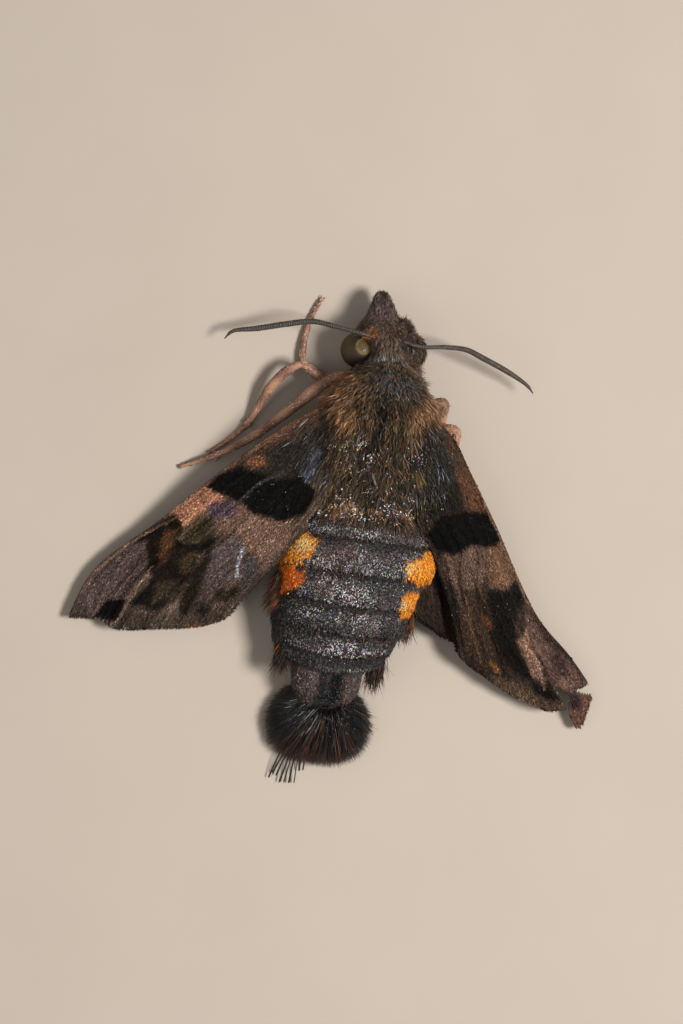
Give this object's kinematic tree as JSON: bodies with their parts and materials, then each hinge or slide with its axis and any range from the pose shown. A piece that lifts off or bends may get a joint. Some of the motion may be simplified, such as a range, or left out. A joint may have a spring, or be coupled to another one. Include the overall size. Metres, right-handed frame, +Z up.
{
  "type": "hummingbird hawk moth",
  "caption": "A hummingbird hawk moth at rest, life size: furry thorax, swept brown wings with a torn right tip, orange flanks and a black tail fan.",
  "frame": {"origin": "on the floor under the middle of the thorax, on the flat of the belly", "axes": "+X to the moth's own left, across the spread of the wings; +Y towards the tail; +Z up"},
  "size_m": [0.0387, 0.0338, 0.0089],
  "materials": {
    "thorax_fur": "dense olive-brown fur with ginger tufts",
    "head_fur": "short grey-brown fur",
    "eye_lens": "glossy olive dome",
    "abdomen_scales": "dark scales with a cold glitter",
    "orange_scales": "matt orange scales",
    "tail_hair": "black hair-like scales with a silky shine",
    "wing_scales": "brown and grey scales with a black band",
    "hindwing_scales": "brown scales with a dull orange tint",
    "leg_scales": "smooth orange-brown scales",
    "feeler_scales": "ringed grey-brown scales"
  },
  "bodies": {
    "root": {"head": "head_fur", "palp_left": "head_fur", "palp_right": "head_fur", "proboscis": "feeler_scales", "eye_left": "eye_lens", "eye_right": "eye_lens", "antenna_left": "feeler_scales", "antenna_right": "feeler_scales", "collar": "thorax_fur", "thorax": "thorax_fur", "tegula_left": "thorax_fur", "tegula_right": "thorax_fur", "abdomen_1": "abdomen_scales", "abdomen_2": "abdomen_scales", "abdomen_2_flank_left": "orange_scales", "abdomen_2_flank_right": "orange_scales", "abdomen_3": "abdomen_scales", "abdomen_3_flank_left": "orange_scales", "abdomen_3_flank_right": "orange_scales", "abdomen_4": "abdomen_scales", "abdomen_5": "abdomen_scales", "abdomen_6": "abdomen_scales", "tuft_left_front": "abdomen_scales", "tuft_left_rear": "abdomen_scales", "tuft_right_front": "abdomen_scales", "tuft_right_rear": "abdomen_scales", "tail_lobe_left": "abdomen_scales", "tail_lobe_right": "abdomen_scales", "tail_fan_left": "tail_hair", "tail_fan_centre": "tail_hair", "tail_fan_right": "tail_hair", "forewing_left": "wing_scales", "forewing_right": "wing_scales", "hindwing_left": "hindwing_scales", "hindwing_right": "hindwing_scales", "leg_front_left": "leg_scales", "leg_mid_left": "leg_scales", "leg_hind_left": "leg_scales", "leg_front_right": "leg_scales", "leg_mid_right": "leg_scales", "leg_hind_right": "leg_scales"}
  },
  "joints": []
}
